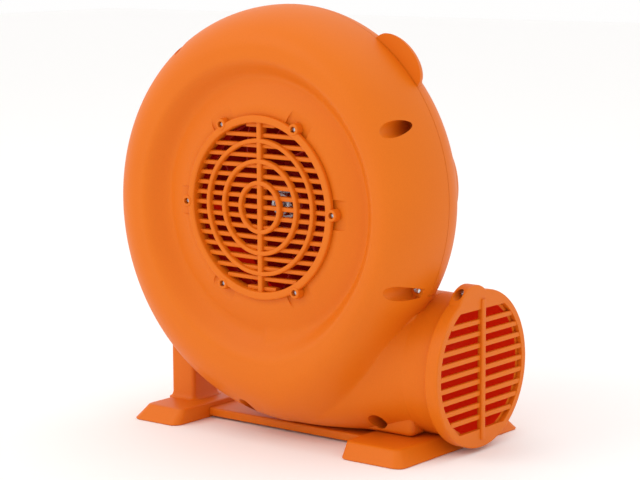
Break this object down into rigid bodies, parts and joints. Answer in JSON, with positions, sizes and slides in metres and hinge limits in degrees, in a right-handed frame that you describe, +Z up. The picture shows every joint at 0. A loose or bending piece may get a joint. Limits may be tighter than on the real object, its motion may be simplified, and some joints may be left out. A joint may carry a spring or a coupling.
{
  "type": "inflatable blower",
  "caption": "Electric centrifugal blower for inflatables: scroll housing in two shells, guarded round outlet and intake, spinning impeller and motor, moulded feet, rocker switch.",
  "frame": {"origin": "on the floor, under the middle of the blower's outline", "axes": "+Z up, +X the way the air leaves through the outlet, -Y the way the intake grille faces"},
  "size_m": [0.3106, 0.191, 0.332],
  "materials": {
    "orange_plastic": "moulded orange plastic, fine satin skin",
    "red_nylon": "moulded dark red nylon",
    "black_plastic": "black moulded plastic",
    "zinc_steel": "bright zinc-plated steel",
    "cast_aluminium": "die-cast aluminium",
    "lamination_steel": "stacked electrical steel",
    "enamelled_copper": "varnished copper winding",
    "white_case": "white plastic capacitor case",
    "felt": "felt seal"
  },
  "bodies": {
    "housing": {"front_shell": "orange_plastic", "rear_shell": "orange_plastic", "intake_grille": "orange_plastic", "outlet_guard": "orange_plastic", "left_foot": "orange_plastic", "right_foot": "orange_plastic", "base_rail": "orange_plastic", "motor_cover": "orange_plastic", "switch_housing": "black_plastic", "cable_gland": "black_plastic", "gland_nut": "black_plastic", "front_bearing": "zinc_steel", "rear_bearing": "zinc_steel", "outlet_guard_screw": "zinc_steel", "grille_screw_1": "zinc_steel", "grille_screw_2": "zinc_steel", "grille_screw_3": "zinc_steel", "grille_screw_4": "zinc_steel", "grille_screw_5": "zinc_steel", "grille_screw_6": "zinc_steel", "shell_screw_1": "zinc_steel", "shell_screw_2": "zinc_steel", "shell_screw_3": "zinc_steel", "shell_screw_4": "zinc_steel", "duct_screw_1": "zinc_steel", "motor_screw_1": "zinc_steel", "motor_screw_2": "zinc_steel", "motor_screw_3": "zinc_steel", "motor_screw_4": "zinc_steel", "cover_screw_1": "zinc_steel", "cover_screw_2": "zinc_steel", "cover_screw_3": "zinc_steel", "cover_screw_4": "zinc_steel", "motor_front_bracket": "cast_aluminium", "motor_rear_bracket": "cast_aluminium", "stator_core": "lamination_steel", "front_winding": "enamelled_copper", "rear_winding": "enamelled_copper", "capacitor": "white_case", "shaft_seal": "felt"},
    "rotor": {"impeller": "red_nylon", "impeller_bush": "zinc_steel", "impeller_washer": "zinc_steel", "impeller_nut": "zinc_steel", "motor_shaft": "zinc_steel", "rotor_core": "lamination_steel", "cooling_fan": "black_plastic"},
    "rocker": {"switch_rocker": "black_plastic"}
  },
  "joints": [
    {"name": "impeller_spin", "type": "hinge", "parent": "housing", "child": "rotor", "pos_m": [0.00615, -0.0095, 0.1815], "axis": [0, 1, 0], "continuous": true},
    {"name": "switch_tilt", "type": "hinge", "parent": "housing", "child": "rocker", "pos_m": [-0.07615, 0.0425, 0.1815], "axis": [0, 1, 0], "range_deg": [-14, 0]}
  ]
}
